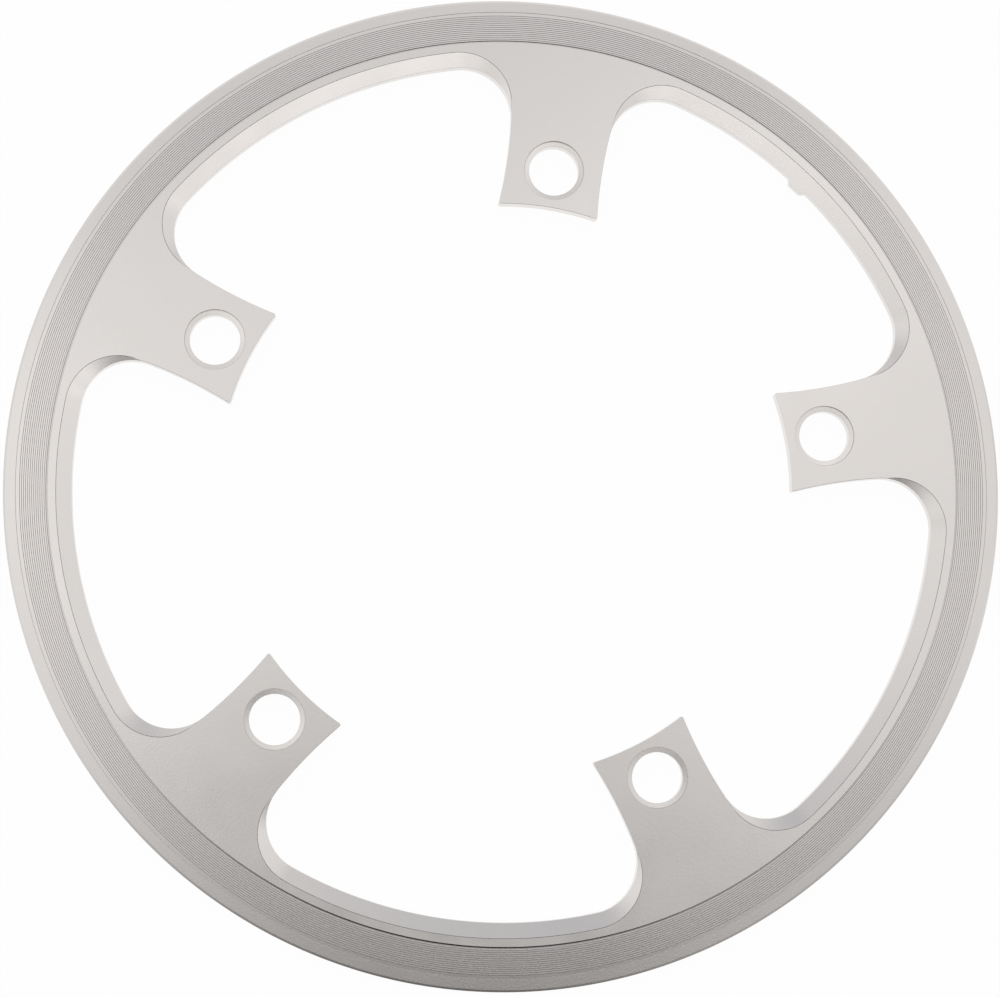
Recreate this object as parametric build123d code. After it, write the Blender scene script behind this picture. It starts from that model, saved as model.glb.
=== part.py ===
from build123d import *
import os
from math import atan2, cos, degrees, radians, sin, sqrt

# Bicycle chain guard: a flat aluminium ring that bolts outside the largest chainring,
# on the outer side of the crank's five arms. It is one machined piece.
# All sizes are in millimetres. The back face lies on z = 0 and the grooved front
# faces +Z. The axis of the crank is the Z axis, and the first arm points along +Y.

# Overall
outer_radius = 99.4
thickness = 3.0

# Bolt pattern, a standard five-bolt circle for road cranks
bolt_circle = 130.0
bolt_count = 5
bolt_hole = 10.1
seat_ledge = 1.0
seat_depth = 0.5

# Arms, waisted at the bolt circle by two large arcs
arm_waist = 19.4
side_radius = 90.0
end_margin = 7.65
corner_flat = 0.35
edge_break = 0.25

# Rim and grooved band, from the outside inwards
rim_width = 2.55
rim_drop = 0.4
rim_bevel = 0.5
band_recess = 0.1
riser_width = 0.75
groove_count = 13
groove_pitch = 0.4
groove_depth = 0.15
relief_width = 0.85
relief_lean = 0.15
relief_depth = 0.6

# Land between the grooved band and the windows, and the sloped wall inside it
land_width = 1.45
slope_width = 3.0
slope_depth = 0.9
back_fillet = 10.0
fillet_growth = 0.4

# Locating tab on the wall of one window
tab_tip = 2.9
tab_height = 1.0
tab_round = 0.45
tab_turn = 0.8

# Radii that follow from the widths above
bolt_radius = bolt_circle / 2
bore_radius = bolt_radius - end_margin
crest_radius = outer_radius - rim_width
first_groove = crest_radius - riser_width
last_groove = first_groove - (groove_count - 1) * groove_pitch
relief_inner = last_groove - relief_width
slope_top = relief_inner - land_width
wall_radius = slope_top - slope_width
front_fillet = back_fillet + fillet_growth

# Heights that follow from the depths above
peak_level = thickness - band_recess
valley_level = peak_level - groove_depth
wall_height = thickness - slope_depth

# How far cutting shapes run past what they cut
overcut = 2.0

window_angle = 360 / bolt_count
tab_root = tab_tip + 2 * tab_height


def circles_meet(centre_a, radius_a, centre_b, radius_b):
    """The point where two circles cross, on the right of the line from a to b."""
    across = centre_b - centre_a
    gap = across.length
    along = (radius_a**2 - radius_b**2 + gap**2) / (2 * gap)
    aside = sqrt(radius_a**2 - along**2)
    unit = across.normalized()
    return centre_a + unit * along + Vector(unit.Y, -unit.X) * aside


def arc_about(centre, radius, start, end):
    """The shorter arc about a centre from one point to another."""
    middle = centre + ((start - centre) + (end - centre)).normalized() * radius
    return ThreePointArc(start, middle, end)


# A window is drawn about +Y, between the arm on its right and the arm on its left
arm_direction = radians(90 - window_angle / 2)
arm_axis = Vector(cos(arm_direction), sin(arm_direction))
arm_side = Vector(-sin(arm_direction), cos(arm_direction))
origin = Vector(0, 0)
waist_point = arm_axis * bolt_radius + arm_side * (arm_waist / 2)
side_centre = waist_point + arm_side * side_radius


def fillet_centre(ring_radius, fillet_radius):
    """Centre of the arc that touches both the arm's side and the ring's inner wall."""
    return circles_meet(origin, ring_radius - fillet_radius, side_centre, side_radius - fillet_radius)


def on_side(along):
    """Point on the arm's side arc, a distance along the arm from the bolt circle."""
    out = side_radius - sqrt(side_radius**2 - along**2)
    return waist_point + arm_axis * along + arm_side * out


def mirrored(point):
    return Vector(-point.X, point.Y)


def wall_outline(centre, ring_radius, fillet_radius, start):
    """Both fillets and the ring's wall between them, from a start point to its mirror image."""
    touch = centre.normalized() * ring_radius
    right = arc_about(centre, fillet_radius, start, touch)
    ring = ThreePointArc(touch, Vector(0, ring_radius), mirrored(touch))
    left = arc_about(mirrored(centre), fillet_radius, mirrored(touch), mirrored(start))
    return [right, ring, left]


def window_face():
    """Outline of one window at the back face, closed across the open middle."""
    centre = fillet_centre(wall_radius, back_fillet)
    touch = side_centre + (centre - side_centre).normalized() * side_radius
    inner = on_side(-end_margin - overcut)
    right = arc_about(side_centre, side_radius, inner, touch)
    left = arc_about(mirrored(side_centre), side_radius, mirrored(touch), mirrored(inner))
    closing = Line(mirrored(inner), inner)
    return make_face([right, *wall_outline(centre, wall_radius, back_fillet, touch), left, closing])


def tab_face():
    """The locating tab on +Y, with sides that lean in at 45 degrees."""
    tip = wall_radius - tab_height
    base = wall_radius + overcut
    tip_half = tab_tip / 2
    base_half = tip_half + (base - tip)
    return make_face(Polyline((-tip_half, tip), (tip_half, tip), (base_half, base), (-base_half, base), close=True))


def tab_window_face():
    """The window that holds the tab, turned so that the tab is on +Y, with its corners rounded."""
    face = Rot(0, 0, -tab_turn) * window_face() - tab_face()
    corners = [v for v in face.vertices() if abs(v.X) < tab_root]
    return fillet(corners, tab_round)


def slope_cutter():
    """What is cut away above the wall of one window to leave the sloped face. It leans the
    same all along, and runs out where its upper edge meets the wall near each arm."""
    back = fillet_centre(wall_radius, back_fillet)
    front = fillet_centre(slope_top, front_fillet)
    start = circles_meet(back, back_fillet, front, front_fillet)
    low_radius = front_fillet - slope_width
    low_start = front + (start - front).normalized() * low_radius
    low_outline = wall_outline(front, wall_radius, low_radius, low_start)
    low = Wire([*low_outline, Line(mirrored(low_start), low_start)])
    high = Wire([*wall_outline(front, slope_top, front_fillet, start), Line(mirrored(start), start)])
    return Solid.make_loft([Pos(0, 0, wall_height) * low, Pos(0, 0, thickness) * high], ruled=True)


def tab_slope_cutter():
    """What is cut away above the tab, so that the sloped face carries on across its top."""
    fall = slope_depth / slope_width
    inner = wall_radius - tab_height - overcut
    inner_height = wall_height - (wall_radius - inner) * fall
    section = make_face(
        Polyline(
            (inner, inner_height),
            (wall_radius, wall_height),
            (wall_radius, thickness + overcut),
            (inner, thickness + overcut),
            close=True,
        )
    )
    spread = 2 * degrees(atan2(tab_root, wall_radius))
    return Rot(0, 0, 90 - spread / 2) * revolve(Plane.XZ * section, Axis.Z, spread)


def ring_section():
    """Half section of the turned blank: radius across, height up. The last groove opens
    straight into the relief."""
    grooves = []
    for k in range(groove_count):
        valley = first_groove - k * groove_pitch
        grooves.append((valley, valley_level))
        grooves.append((valley - groove_pitch / 2, peak_level))
    points = [
        (bore_radius, 0),
        (outer_radius, 0),
        (outer_radius, thickness - rim_drop - rim_bevel),
        (outer_radius - rim_bevel, thickness - rim_drop),
        (crest_radius, thickness),
        *grooves[:-1],
        (relief_inner + relief_lean, thickness - relief_depth),
        (relief_inner, thickness),
        (bore_radius, thickness),
    ]
    return make_face(Polyline(*points, close=True))


def bolt_seat():
    """One bolt hole with the shallow seat for the bolt's head."""
    on_base = (Align.CENTER, Align.CENTER, Align.MIN)
    hole = Cylinder(bolt_hole / 2, thickness, align=on_base)
    seat = Cylinder(bolt_hole / 2 + seat_ledge, seat_depth, align=on_base)
    return hole + Pos(0, 0, thickness - seat_depth) * seat


def around(shape, first_angle):
    """The same shape at every arm or window."""
    return [Rot(0, 0, first_angle + k * window_angle) * shape for k in range(bolt_count)]


def from_axis(edge):
    """Distance of an upright edge from the crank's axis."""
    return (edge @ 0).cross(Axis.Z.direction).length


guard = revolve(Plane.XZ * ring_section(), Axis.Z)

# Windows lie half a step from the arms. The first one clockwise from +Y holds the tab,
# which is a little off its middle, towards the first arm.
first_window = -window_angle / 2
tab_angle = first_window + tab_turn
windows = around(extrude(window_face(), thickness), first_window)
windows[0] = Rot(0, 0, tab_angle) * extrude(tab_window_face(), thickness)
guard -= windows

# The arms' corners, upright edges on the bore, are cut off, and the front edges of the
# inner outline are broken
corners = [e for e in guard.edges().filter_by(Axis.Z) if from_axis(e) < bore_radius + corner_flat]
guard = chamfer(corners, corner_flat)
front_face = guard.faces().sort_by(Axis.Z)[-1]
guard = chamfer(front_face.inner_wires().edges(), edge_break)

guard -= around(slope_cutter(), first_window)
guard -= Rot(0, 0, tab_angle) * tab_slope_cutter()
guard -= around(Pos(0, bolt_radius, 0) * bolt_seat(), 0)

os.makedirs("parts", exist_ok=True)
export_step(guard, "parts/chain_guard.step")
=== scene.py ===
from math import asin, atan2, cos, hypot, pi, radians, sin, sqrt

import bpy
import bmesh
import numpy as np
from mathutils import Matrix, Vector
from mathutils.geometry import delaunay_2d_cdt


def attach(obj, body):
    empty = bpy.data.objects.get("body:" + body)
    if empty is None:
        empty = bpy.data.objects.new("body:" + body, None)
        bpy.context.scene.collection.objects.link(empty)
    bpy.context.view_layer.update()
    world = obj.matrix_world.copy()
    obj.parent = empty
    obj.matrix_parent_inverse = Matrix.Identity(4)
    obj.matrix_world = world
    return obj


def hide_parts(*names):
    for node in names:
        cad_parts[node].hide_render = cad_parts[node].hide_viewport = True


# The chain guard lies on its flat back, with its grooved front up and its first arm
# along +Y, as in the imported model. Lengths here are in millimetres and become metres
# only where Blender takes them.
MM = 0.001

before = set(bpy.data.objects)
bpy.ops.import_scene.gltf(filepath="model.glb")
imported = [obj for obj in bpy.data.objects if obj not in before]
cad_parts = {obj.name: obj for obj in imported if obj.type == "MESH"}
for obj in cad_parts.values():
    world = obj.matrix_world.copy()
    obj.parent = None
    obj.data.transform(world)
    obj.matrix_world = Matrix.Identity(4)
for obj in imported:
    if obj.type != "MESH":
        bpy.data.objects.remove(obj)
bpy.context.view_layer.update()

# Main sizes, the same as in the solid
OUTER_RADIUS = 99.4
THICKNESS = 3.0
BOLT_RADIUS = 65.0
BOLT_COUNT = 5
HOLE_RADIUS = 5.05
SEAT_RADIUS = 6.05
SEAT_LEVEL = 2.5
WAIST_HALF = 9.7
SIDE_RADIUS = 90.0
BORE_RADIUS = 57.35
CORNER_FLAT = 0.35
WALL_RADIUS = 86.0
WALL_HEIGHT = 2.1
SLOPE_TOP = 89.0
BACK_FILLET = 10.0
FRONT_FILLET = 10.4
TAB_TIP = 2.9
TAB_HEIGHT = 1.0
TAB_ROUND = 0.45
TAB_TURN = 0.8
FIRST_GROOVE = 96.1
GROOVE_COUNT = 13
GROOVE_PITCH = 0.4

# The rim's section as it shines in the photo, from the outside inwards
BEVEL_FOOT = 2.3
BEVEL_WIDTH = 0.45
BEVEL_LEVEL = 2.6
CREST = 96.95
CREST_LEVEL = 2.99
CREST_LINE = 0.06
CREST_LINE_LEVEL = 2.82
RISER_LEVEL = 2.84
BAND_LEVEL = 2.96
RIDGE_TILT = 0.03
GROOVE_HALF = 0.045
GROOVE_LEVEL = 2.88
LAST_RIDGE_LEVEL = 2.97
RELIEF_OUTER = 91.0
RELIEF_EDGE = 0.04
RELIEF_LEVEL = 2.8
RELIEF_LINE = 0.12
RELIEF_LINE_LEVEL = 2.94
RELIEF_INNER = 90.6

# Broken edges, and the line scribed where the slope meets the face
EDGE_BREAK = 0.07
SMALLEST_BREAK = 0.04
BREAK_BULGE = 0.3
BACK_BREAK = 0.12
LINE_HALF = 0.045
LINE_DEPTH = 0.1
LINE_START = 0.4
ROW_GAP = 0.01

# A bolt's seat: its edges' breaks, its slight cone and the line round it
SEAT_BREAK = 0.03
SEAT_DROP = 0.02
SEAT_RISE = 0.025
SEAT_LINE = 0.05

# Steps along each curve of the mesh, and how close points may come before they are one
SIDE_STEPS = 18
FILLET_STEPS = 36
RING_STEPS = 110
END_STEPS = 26
TAB_STEPS = 6
RIM_STEPS = 480
HOLE_STEPS = 72
SAME_PLACE = 1e-4
FILL_TOLERANCE = 1e-6
TAB_JOIN_ANGLE = 0.001

WINDOW_ANGLE = 360 / BOLT_COUNT
FALL = (THICKNESS - WALL_HEIGHT) / (SLOPE_TOP - WALL_RADIUS)


# Plane geometry of one window, drawn about +Y between two arms

def point(radius, angle):
    """The point at a radius and an angle about the axis."""
    return np.array([radius * cos(angle), radius * sin(angle)])


def unit(v):
    """The vector of length one in the same direction."""
    return v / hypot(*v)


def turned(points, degrees):
    """Points turned anticlockwise about the axis."""
    c = cos(radians(degrees))
    s = sin(radians(degrees))
    return points @ np.array([[c, s], [-s, c]])


def circle(radius, steps, centre=(0, 0)):
    """Points evenly round a circle."""
    angle = np.linspace(0, 2 * pi, steps, endpoint=False)
    return np.array(centre) + radius * np.stack([np.cos(angle), np.sin(angle)], 1)


def circles_meet(centre_a, radius_a, centre_b, radius_b):
    """The point where two circles cross, on the right of the line from a to b."""
    across = centre_b - centre_a
    gap = hypot(*across)
    along = (radius_a**2 - radius_b**2 + gap**2) / (2 * gap)
    aside = sqrt(radius_a**2 - along**2)
    ahead = across / gap
    return centre_a + ahead * along + np.array([ahead[1], -ahead[0]]) * aside


def arc(centre, start, end, steps):
    """Points on the shorter arc about a centre, both ends included."""
    a = start - centre
    b = end - centre
    first = atan2(a[1], a[0])
    turn = (atan2(b[1], b[0]) - first + pi) % (2 * pi) - pi
    share = np.linspace(0, 1, steps + 1)
    angle = first + turn * share
    radius = hypot(*a) + (hypot(*b) - hypot(*a)) * share
    return centre + np.stack([radius * np.cos(angle), radius * np.sin(angle)], 1)


def rounded(points, radius, steps):
    """A polyline with each inner corner replaced by an arc."""
    out = [points[0]]
    for before, corner, after in zip(points, points[1:], points[2:]):
        a = unit(before - corner)
        b = unit(after - corner)
        half = np.arccos(np.clip(a @ b, -1, 1)) / 2
        reach = radius / np.tan(half)
        centre = corner + unit(a + b) * radius / np.sin(half)
        out.extend(arc(centre, corner + a * reach, corner + b * reach, steps))
    out.append(points[-1])
    return np.array(out)


ORIGIN = np.zeros(2)
ARM_ANGLE = radians(90 - WINDOW_ANGLE / 2)
ARM_AXIS = point(1, ARM_ANGLE)
ARM_SIDE = np.array([-ARM_AXIS[1], ARM_AXIS[0]])
SIDE_CENTRE = ARM_AXIS * BOLT_RADIUS + ARM_SIDE * (WAIST_HALF + SIDE_RADIUS)


def fillet_centre(ring_radius, fillet_radius):
    """Centre of the arc that touches both the arm's side and the ring's inner wall."""
    return circles_meet(ORIGIN, ring_radius - fillet_radius, SIDE_CENTRE, SIDE_RADIUS - fillet_radius)


BACK_CENTRE = fillet_centre(WALL_RADIUS, BACK_FILLET)
FRONT_CENTRE = fillet_centre(SLOPE_TOP, FRONT_FILLET)
TOUCH_SIDE = SIDE_CENTRE + unit(BACK_CENTRE - SIDE_CENTRE) * SIDE_RADIUS
TOUCH_RING = unit(BACK_CENTRE) * WALL_RADIUS


def tab_outline():
    """The tab's edge on the wall at +Y, from its right root to its left root."""
    tip = WALL_RADIUS - TAB_HEIGHT
    half = TAB_TIP / 2
    lean = tip - half
    root = (sqrt(2 * WALL_RADIUS**2 - lean**2) - lean) / 2
    reach = 2 * root - half
    right = [point(WALL_RADIUS, pi / 2 - asin(x / WALL_RADIUS)) for x in (reach, root)]
    corners = [*right, np.array([half, tip])]
    corners += [p * [-1, 1] for p in reversed(corners)]
    return rounded(corners, TAB_ROUND, TAB_STEPS)


def arm_corner(depth):
    """Where the arm's side meets its end, at a depth into the arm."""
    return circles_meet(ORIGIN, BORE_RADIUS + depth, SIDE_CENTRE, SIDE_RADIUS + depth)


def cut_corner(depth):
    """Length of the flat across the arm's corner on each side of it, at a depth into the arm."""
    return CORNER_FLAT - depth * (2 - sqrt(2))


def arm_side(depth):
    """The arm's side from its cut corner to the fillet, at a depth into the arm."""
    corner = arm_corner(depth)
    low = corner + unit(TOUCH_SIDE - corner) * cut_corner(depth)
    low = SIDE_CENTRE + unit(low - SIDE_CENTRE) * (SIDE_RADIUS + depth)
    top = SIDE_CENTRE + unit(TOUCH_SIDE - SIDE_CENTRE) * (SIDE_RADIUS + depth)
    return arc(SIDE_CENTRE, low, top, SIDE_STEPS)


def arm_end(depth):
    """The arm's end between its two cut corners, for the arm on the window's left."""
    corner = arm_corner(depth)
    away = ARM_ANGLE - atan2(corner[1], corner[0])
    half = abs(away) - cut_corner(depth) / (BORE_RADIUS + depth)
    first = point(BORE_RADIUS + depth, pi - ARM_ANGLE - half)
    last = point(BORE_RADIUS + depth, pi - ARM_ANGLE + half)
    return arc(ORIGIN, first, last, END_STEPS)


def straight_rows(edge):
    """Rows for an edge of the arm, which has no slope beside it. The edge is a function of
    the depth into the arm."""
    points = edge(0)
    inward = (edge(EDGE_BREAK) - points) / EDGE_BREAK
    return np.column_stack([points, inward, np.zeros(len(points))])


def slope_at(p):
    """How wide the slope is at a point on the right half's wall, and which way it rises."""
    if abs(atan2(p[0], p[1])) < atan2(FRONT_CENTRE[0], FRONT_CENTRE[1]):
        return SLOPE_TOP - hypot(*p), unit(p)
    width = FRONT_FILLET - hypot(*(p - FRONT_CENTRE))
    return max(width, 0), unit(p - FRONT_CENTRE)


def window_rows(with_tab):
    """The wall of one window and of the arm end on its left, from the window's right corner.
    Rows of x, y, the way into the metal per millimetre, and the slope's width."""
    fillet_rows = []
    for p in arc(BACK_CENTRE, TOUCH_SIDE, TOUCH_RING, FILLET_STEPS)[1:]:
        width, rise = slope_at(p)
        share = min(width / (2 * EDGE_BREAK), 1)
        inward = unit(unit(p - BACK_CENTRE) * (1 - share) + rise * share)
        fillet_rows.append([*p, *inward, width])
    right = np.concatenate([straight_rows(arm_side), fillet_rows])
    ring = arc(ORIGIN, TOUCH_RING, TOUCH_RING * [-1, 1], RING_STEPS)[1:-1]
    if with_tab:
        tab = turned(tab_outline(), TAB_TURN)
        at = np.arctan2(ring[:, 1], ring[:, 0])
        ends = np.arctan2(tab[[0, -1], 1], tab[[0, -1], 0])
        before = ring[at < ends[0] - TAB_JOIN_ANGLE]
        after = ring[at > ends[1] + TAB_JOIN_ANGLE]
        ring = np.concatenate([before, tab, after])
    ring_rows = []
    for p in ring:
        side = np.sign(p[0]) or 1
        width, rise = slope_at(p * [side, 1])
        ring_rows.append([*p, rise[0] * side, rise[1], width])
    left = right[::-1] * [-1, 1, -1, 1, 1]
    return np.concatenate([right, ring_rows, left, straight_rows(arm_end)])


def inside(points, loop):
    """Which points lie inside a closed outline."""
    found = np.zeros(len(points), bool)
    x, y = points.T
    for (x0, y0), (x1, y1) in zip(loop, np.roll(loop, -1, 0)):
        if y0 != y1:
            crosses = (y0 > y) != (y1 > y)
            found ^= crosses & (x < (x1 - x0) * (y - y0) / (y1 - y0) + x0)
    return found


class Shape:
    """Vertices and faces of the mesh. Each face has the number of the surface it is on,
    and a mark where it takes painted shade, the darker metal in the fine grooves and lines."""

    def __init__(self):
        self.points = []
        self.count = 0
        self.faces = []
        self.surface = []
        self.painted_shade = []
        self.surfaces = 0

    def add(self, xy, z):
        """Adds a row of points and gives their indices."""
        row = np.column_stack([xy, np.broadcast_to(z, len(xy))])
        self.points.append(row)
        self.count += len(row)
        return np.arange(self.count - len(row), self.count)

    def band(self, low, high, painted_shade=False):
        """A closed band of faces between two rows, on a surface of its own."""
        self.surfaces += 1
        for face in zip(low, np.roll(low, -1), np.roll(high, -1), high):
            self.faces.append(face)
            self.surface.append(self.surfaces)
            self.painted_shade.append(painted_shade)

    def bands(self, rows, painted_shade=False):
        """A band between each row and the next."""
        for low, high in zip(rows, rows[1:]):
            self.band(low, high, painted_shade)

    def fill(self, outer, holes):
        """A flat sheet between an outer row and the rows of its holes."""
        self.surfaces += 1
        xyz = np.concatenate(self.points)
        rows = [outer, *holes]
        ids = np.concatenate(rows)
        edges = []
        start = 0
        for row in rows:
            n = len(row)
            edges += [(start + k, start + (k + 1) % n) for k in range(n)]
            start += n
        flat = [Vector(p) for p in xyz[ids][:, :2].tolist()]
        _, _, faces, origins, _, _ = delaunay_2d_cdt(flat, edges, [], 0, FILL_TOLERANCE)
        triangles = np.array([[ids[origins[v][0]] for v in f] for f in faces])
        middle = xyz[triangles][:, :, :2].mean(1)
        keep = inside(middle, xyz[outer][:, :2])
        for hole in holes:
            keep &= ~inside(middle, xyz[hole][:, :2])
        for t in triangles[keep]:
            self.faces.append(tuple(t))
            self.surface.append(self.surfaces)
            self.painted_shade.append(False)


shape = Shape()

# The rim is turned, so it is rings of points, one at each corner of its section: radius,
# height, and whether the face that leads to the corner takes painted shade, as the walls of the fine
# grooves and lines do
section = [
    (OUTER_RADIUS - BACK_BREAK, 0, False),
    (OUTER_RADIUS, BACK_BREAK, False),
    (OUTER_RADIUS, BEVEL_FOOT, False),
    (OUTER_RADIUS - BEVEL_WIDTH, BEVEL_LEVEL, False),
    (CREST, CREST_LEVEL, False),
    (CREST - CREST_LINE / 2, CREST_LINE_LEVEL, False),
    (CREST - CREST_LINE, RISER_LEVEL, True),
]
for k in range(GROOVE_COUNT):
    middle = FIRST_GROOVE - k * GROOVE_PITCH
    section.append((middle + GROOVE_HALF, BAND_LEVEL + RIDGE_TILT, False))
    section.append((middle, GROOVE_LEVEL, True))
    section.append((middle - GROOVE_HALF, BAND_LEVEL - RIDGE_TILT, True))
section += [
    (RELIEF_OUTER + RELIEF_EDGE, LAST_RIDGE_LEVEL, False),
    (RELIEF_OUTER, RELIEF_LEVEL, True),
    (RELIEF_INNER + RELIEF_LINE, RELIEF_LINE_LEVEL, False),
    (RELIEF_INNER, THICKNESS, True),
]
rings = [shape.add(circle(radius, RIM_STEPS), z) for radius, z, _ in section]
for low, high, (_, _, painted_shade) in zip(rings, rings[1:], section[1:]):
    shape.band(low, high, painted_shade)

# The inner outline, round all five windows and arm ends
outline = []
for w in range(BOLT_COUNT):
    window = window_rows(with_tab=(w == 0))
    direction = -WINDOW_ANGLE / 2 - w * WINDOW_ANGLE
    window[:, :2] = turned(window[:, :2], direction)
    window[:, 2:4] = turned(window[:, 2:4], direction)
    outline.insert(0, window)
outline = np.concatenate(outline)
foot = outline[:, :2]
inwards = outline[:, 2:4]
slope_width = outline[:, 4]


def moved_in(depth):
    """The inner outline moved into the metal."""
    return foot + inwards * np.broadcast_to(depth, len(foot))[:, None]


def slope_level(depth):
    """Height of the slope, or of the face beyond it, at a depth into the metal."""
    return THICKNESS - FALL * np.clip(slope_width - depth, 0, None)


# The wall's upper edge is broken where the slope is too narrow to break it, and the line
# is scribed only where the slope is wide enough to show
broken = np.clip((EDGE_BREAK - FALL * slope_width) / (1 - FALL), SMALLEST_BREAK, EDGE_BREAK)
wall_top = slope_level(broken) - broken
line_depth = LINE_DEPTH * np.clip((slope_width - LINE_START) / LINE_START, 0, 1)
line_near = np.maximum(slope_width - LINE_HALF, broken + ROW_GAP)
line_middle = np.maximum(slope_width, broken + 2 * ROW_GAP)
line_far = np.maximum(slope_width + LINE_HALF, broken + 3 * ROW_GAP)
wall_rows = [
    shape.add(moved_in(BACK_BREAK), 0),
    shape.add(foot, BACK_BREAK),
    shape.add(foot, wall_top),
    shape.add(moved_in(broken * BREAK_BULGE), wall_top + broken * (1 - BREAK_BULGE)),
    shape.add(moved_in(broken), slope_level(broken)),
    shape.add(moved_in(line_near), slope_level(line_near)),
]
line_rows = [
    wall_rows[-1],
    shape.add(moved_in(line_middle), THICKNESS - line_depth),
    shape.add(moved_in(line_far), THICKNESS),
]
shape.bands(wall_rows)
# The scribed line's walls take painted shade
shape.bands(line_rows, painted_shade=True)

# Bolt holes and their seats
seat_section = [
    (HOLE_RADIUS + BACK_BREAK, 0),
    (HOLE_RADIUS, BACK_BREAK),
    (HOLE_RADIUS, SEAT_LEVEL - SEAT_DROP - SEAT_BREAK),
    (HOLE_RADIUS + SEAT_BREAK, SEAT_LEVEL - SEAT_DROP),
    (SEAT_RADIUS - 2 * SEAT_LINE, SEAT_LEVEL + SEAT_RISE),
    (SEAT_RADIUS - SEAT_LINE, SEAT_LEVEL - SEAT_DROP),
    (SEAT_RADIUS, SEAT_LEVEL + SEAT_LINE),
    (SEAT_RADIUS, THICKNESS - SEAT_BREAK),
    (SEAT_RADIUS + SEAT_BREAK, THICKNESS),
]
back_holes = []
front_holes = []
for k in range(BOLT_COUNT):
    centre = point(BOLT_RADIUS, radians(90 - k * WINDOW_ANGLE))
    hole = [shape.add(circle(radius, HOLE_STEPS, centre), z) for radius, z in seat_section]
    shape.bands(hole)
    back_holes.append(hole[0])
    front_holes.append(hole[-1])

# The flat front face and the flat back
shape.fill(rings[-1], [line_rows[-1], *front_holes])
shape.fill(rings[0], [wall_rows[0], *back_holes])


def build_mesh(name):
    """The shape as a closed mesh in metres, smooth on each surface and sharp between them."""
    mesh = bpy.data.meshes.new(name)
    xyz = np.concatenate(shape.points) * MM
    mesh.from_pydata(xyz.tolist(), [], [tuple(int(v) for v in f) for f in shape.faces])
    made = bmesh.new()
    made.from_mesh(mesh)
    made.faces.ensure_lookup_table()
    layer = made.faces.layers.int.new("surface")
    for f, number, painted_shade in zip(made.faces, shape.surface, shape.painted_shade):
        f[layer] = number
        f.smooth = True
        # Faces with painted shade take the second, darker material
        f.material_index = int(painted_shade)
    bmesh.ops.remove_doubles(made, verts=made.verts, dist=SAME_PLACE * MM)
    bmesh.ops.recalc_face_normals(made, faces=made.faces)
    for e in made.edges:
        numbers = {f[layer] for f in e.link_faces}
        e.smooth = len(numbers) < 2
    made.to_mesh(mesh)
    made.free()
    return mesh


body = bpy.data.objects.new("chain_guard_body", build_mesh("chain_guard_body"))
bpy.context.scene.collection.objects.link(body)


# Materials

GRAIN_SIZE = 0.45
CLOUD_SIZE = 9.0
SMOOTHEST = 0.18
ROUGHEST = 0.24
BUMP_SHARE = 0.25
BUMP_DEPTH = 0.02


def nodes_of(owner):
    """The emptied nodes of a material or world, and their links."""
    owner.use_nodes = True
    owner.node_tree.nodes.clear()
    return owner.node_tree.nodes, owner.node_tree.links


def noise(nodes, links, size, detail):
    """A fine even noise with grains of a given size in millimetres."""
    place = nodes.new("ShaderNodeTexCoord")
    texture = nodes.new("ShaderNodeTexNoise")
    texture.inputs["Scale"].default_value = 1 / (size * MM)
    texture.inputs["Detail"].default_value = detail
    links.new(place.outputs["Object"], texture.inputs["Vector"])
    return texture.outputs["Fac"]


def satin_aluminium(name, darker, lighter):
    """Bead-blasted and clear anodised aluminium: a fine even grain between two tints, over
    broad soft changes of gloss."""
    material = bpy.data.materials.new(name)
    nodes, links = nodes_of(material)
    out = nodes.new("ShaderNodeOutputMaterial")
    shader = nodes.new("ShaderNodeBsdfPrincipled")
    shader.inputs["Metallic"].default_value = 1.0
    links.new(shader.outputs[0], out.inputs["Surface"])
    grain = noise(nodes, links, GRAIN_SIZE, detail=3)
    cloud = noise(nodes, links, CLOUD_SIZE, detail=2)

    tint = nodes.new("ShaderNodeMix")
    tint.data_type = "RGBA"
    tint.inputs["A"].default_value = (*darker, 1)
    tint.inputs["B"].default_value = (*lighter, 1)
    links.new(grain, tint.inputs["Factor"])
    links.new(tint.outputs["Result"], shader.inputs["Base Color"])

    rough = nodes.new("ShaderNodeMapRange")
    rough.inputs["To Min"].default_value = SMOOTHEST
    rough.inputs["To Max"].default_value = ROUGHEST
    links.new(cloud, rough.inputs["Value"])
    links.new(rough.outputs["Result"], shader.inputs["Roughness"])

    bump = nodes.new("ShaderNodeBump")
    bump.inputs["Strength"].default_value = BUMP_SHARE
    bump.inputs["Distance"].default_value = BUMP_DEPTH * MM
    links.new(grain, bump.inputs["Height"])
    links.new(bump.outputs["Normal"], shader.inputs["Normal"])
    return material


body.data.materials.append(satin_aluminium("satin_aluminium", (0.765, 0.73, 0.705), (0.80, 0.765, 0.742)))
# The walls of the fine grooves and lines take a darker copy of the aluminium: painted shade in these
# creases
body.data.materials.append(satin_aluminium("painted_groove_shade", (0.54, 0.525, 0.535), (0.60, 0.585, 0.595)))
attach(body, "root")
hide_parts("chain_guard")


# Floor, world and camera

FLOOR_HALF = 1500.0
FLOOR_GAP = 0.02
PAPER_WHITE = 0.95
WHITE_SHARE = 0.97
WHITE = (1, 1, 1, 1)


def white_share(nodes, links):
    """How far a ray sees plain white: camera, glossy and transmission rays do."""
    path = nodes.new("ShaderNodeLightPath")
    total = path.outputs["Is Camera Ray"]
    for name in ("Is Glossy Ray", "Is Transmission Ray"):
        more = nodes.new("ShaderNodeMath")
        more.operation = "ADD"
        more.use_clamp = True
        links.new(total, more.inputs[0])
        links.new(path.outputs[name], more.inputs[1])
        total = more.outputs[0]
    share = nodes.new("ShaderNodeMath")
    share.operation = "MULTIPLY"
    share.inputs[1].default_value = WHITE_SHARE
    links.new(total, share.inputs[0])
    return share.outputs[0]


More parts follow.
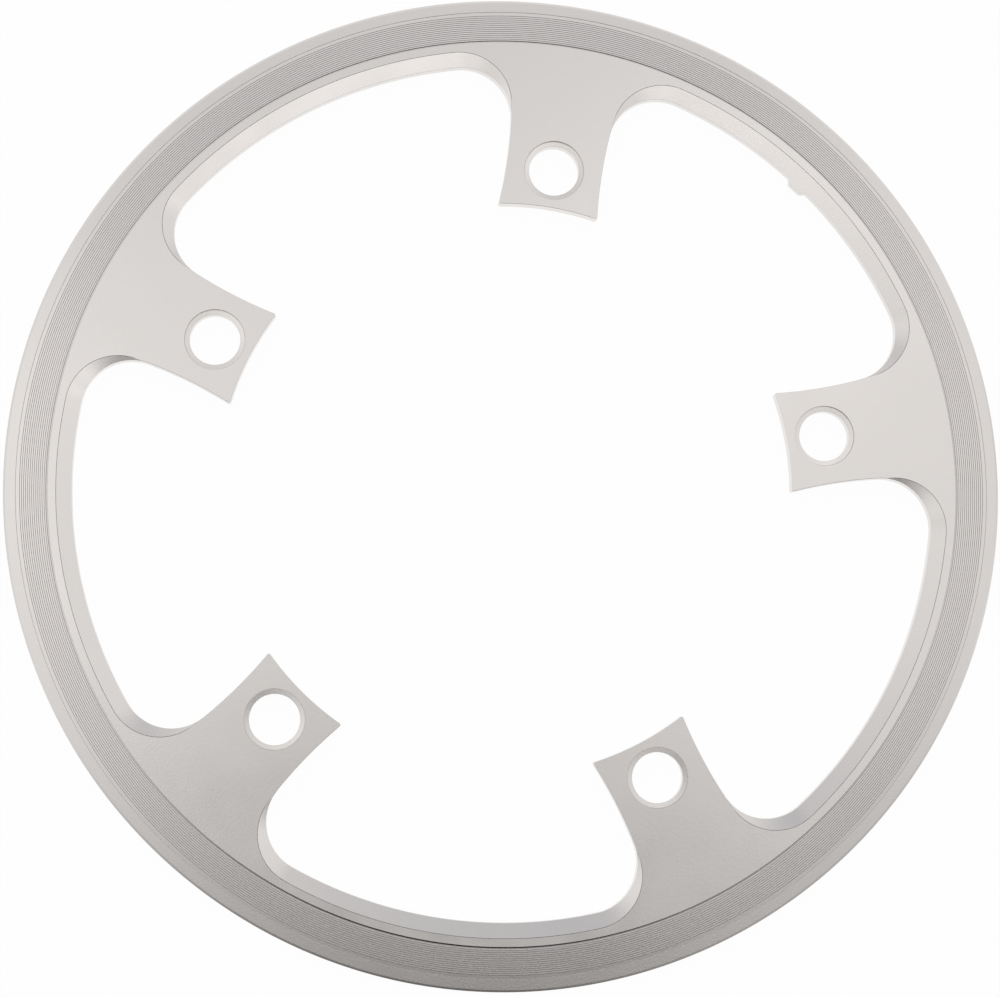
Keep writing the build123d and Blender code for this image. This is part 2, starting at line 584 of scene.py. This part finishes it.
def add_floor():
    """White paper just below the guard, which keeps a little of the guard's shadow."""
    half = FLOOR_HALF * MM
    mesh = bpy.data.meshes.new("floor")
    corners = [(-half, -half, 0), (half, -half, 0), (half, half, 0), (-half, half, 0)]
    mesh.from_pydata(corners, [], [(0, 1, 2, 3)])
    floor = bpy.data.objects.new("floor", mesh)
    floor.location.z = -FLOOR_GAP * MM
    bpy.context.scene.collection.objects.link(floor)
    material = bpy.data.materials.new("white_floor")
    nodes, links = nodes_of(material)
    out = nodes.new("ShaderNodeOutputMaterial")
    paper = nodes.new("ShaderNodeBsdfDiffuse")
    paper.inputs["Color"].default_value = (PAPER_WHITE, PAPER_WHITE, PAPER_WHITE, 1)
    white = nodes.new("ShaderNodeEmission")
    white.inputs["Color"].default_value = WHITE
    white.inputs["Strength"].default_value = 1.0
    mix = nodes.new("ShaderNodeMixShader")
    links.new(white_share(nodes, links), mix.inputs["Fac"])
    links.new(paper.outputs[0], mix.inputs[1])
    links.new(white.outputs[0], mix.inputs[2])
    links.new(mix.outputs[0], out.inputs["Surface"])
    mesh.materials.append(material)


add_floor()

# The studio is a white tent: an even light from all round, with the dark camera and
# photographer overhead and the tent's opening towards the lower edge of the picture.
# Each soft area: centre and half sizes as shares of the sky's radius, in picture
# directions, its turn in radians, and what it adds to red, green and blue. The picture is
# turned a few degrees against the guard.
TENT_LIGHT = 0.883
PICTURE_TURN = 9
SOFT_AREAS = [
    ((0.018, -0.071), (0.490, 0.104), -0.210, (-0.95, -0.95, -0.95)),
    ((0.060, -0.287), (0.380, 0.244), 0.079, (0.80, 0.80, 0.80)),
    ((0.101, -0.599), (1.270, 0.567), 0.095, (-0.75, -0.75, -0.75)),
    ((-0.013, 0.448), (0.568, 0.258), 0.155, (-0.375, -0.36, -0.33)),
    ((-0.172, -0.060), (0.148, 0.370), -0.050, (0.60, 0.60, 0.60)),
    ((0.159, 0.194), (0.132, 0.062), 0.793, (0.60, 0.60, 0.60)),
    ((0.340, -0.178), (0.360, 0.189), 0.940, (0.43, 0.43, 0.43)),
    ((-0.010, -0.959), (1.164, 0.811), -0.652, (-0.46, -0.46, -0.46)),
    ((-0.618, 0.187), (0.223, 0.640), -0.122, (0.29, 0.29, 0.29)),
    ((0.750, -0.050), (0.220, 0.640), -0.732, (-0.21, -0.21, -0.21)),
]


def add_world():
    """The tent's light, seen from above as a disc on which each soft area is an ellipse that
    fades to its edge. The camera sees plain white."""
    world = bpy.data.worlds.new("studio")
    bpy.context.scene.world = world
    nodes, links = nodes_of(world)
    out = nodes.new("ShaderNodeOutputWorld")
    direction = nodes.new("ShaderNodeTexCoord")
    level = nodes.new("ShaderNodeVectorMath")
    level.operation = "MULTIPLY"
    level.inputs[1].default_value = (1, 1, 0)
    links.new(direction.outputs["Generated"], level.inputs[0])
    total = None
    for centre, (half_x, half_y), turn, light in SOFT_AREAS:
        place = nodes.new("ShaderNodeMapping")
        place.vector_type = "TEXTURE"
        place.inputs["Location"].default_value = (*turned(np.array(centre), PICTURE_TURN), 0)
        place.inputs["Rotation"].default_value = (0, 0, turn + radians(PICTURE_TURN))
        place.inputs["Scale"].default_value = (half_x, half_y, 1)
        links.new(level.outputs[0], place.inputs["Vector"])
        away = nodes.new("ShaderNodeVectorMath")
        away.operation = "LENGTH"
        links.new(place.outputs["Vector"], away.inputs[0])
        fade = nodes.new("ShaderNodeMapRange")
        fade.interpolation_type = "SMOOTHSTEP"
        fade.inputs["To Min"].default_value = 1
        fade.inputs["To Max"].default_value = 0
        links.new(away.outputs["Value"], fade.inputs["Value"])
        add = nodes.new("ShaderNodeVectorMath")
        add.operation = "MULTIPLY_ADD"
        add.inputs[1].default_value = light
        links.new(fade.outputs["Result"], add.inputs[0])
        if total is None:
            add.inputs[2].default_value = (TENT_LIGHT, TENT_LIGHT, TENT_LIGHT)
        else:
            links.new(total, add.inputs[2])
        total = add.outputs[0]
    not_negative = nodes.new("ShaderNodeVectorMath")
    not_negative.operation = "MAXIMUM"
    not_negative.inputs[1].default_value = (0, 0, 0)
    links.new(total, not_negative.inputs[0])
    tent = nodes.new("ShaderNodeBackground")
    links.new(not_negative.outputs[0], tent.inputs["Color"])
    white = nodes.new("ShaderNodeBackground")
    white.inputs["Color"].default_value = WHITE
    path = nodes.new("ShaderNodeLightPath")
    mix = nodes.new("ShaderNodeMixShader")
    links.new(path.outputs["Is Camera Ray"], mix.inputs["Fac"])
    links.new(tent.outputs[0], mix.inputs[1])
    links.new(white.outputs[0], mix.inputs[2])
    links.new(mix.outputs[0], out.inputs["Surface"])


add_world()

CAMERA_PLACE = Vector((-22.8, -59.4, 509.0))
CAMERA_AIM = Vector((-0.89, -2.59, 3.0))
PICTURE_RIGHT = Vector((0.9871, 0.1487, 0.0595))
SENSOR_WIDTH = 36
LENS = 92.16
NEAREST = 10.0
FARTHEST = 10000.0


def add_camera():
    """The camera, at the place and turn that fit the photo's outlines."""
    data = bpy.data.cameras.new("camera")
    data.sensor_width = SENSOR_WIDTH
    data.lens = LENS
    data.clip_start = NEAREST * MM
    data.clip_end = FARTHEST * MM
    camera = bpy.data.objects.new("camera", data)
    ahead = (CAMERA_AIM - CAMERA_PLACE).normalized()
    right = (PICTURE_RIGHT - ahead * PICTURE_RIGHT.dot(ahead)).normalized()
    up = right.cross(ahead)
    turn = Matrix((right, up, -ahead)).transposed()
    camera.matrix_world = Matrix.Translation(CAMERA_PLACE * MM) @ turn.to_4x4()
    bpy.context.scene.collection.objects.link(camera)
    return camera


bpy.context.scene.camera = add_camera()

bpy.context.scene.view_settings.view_transform = "Standard"
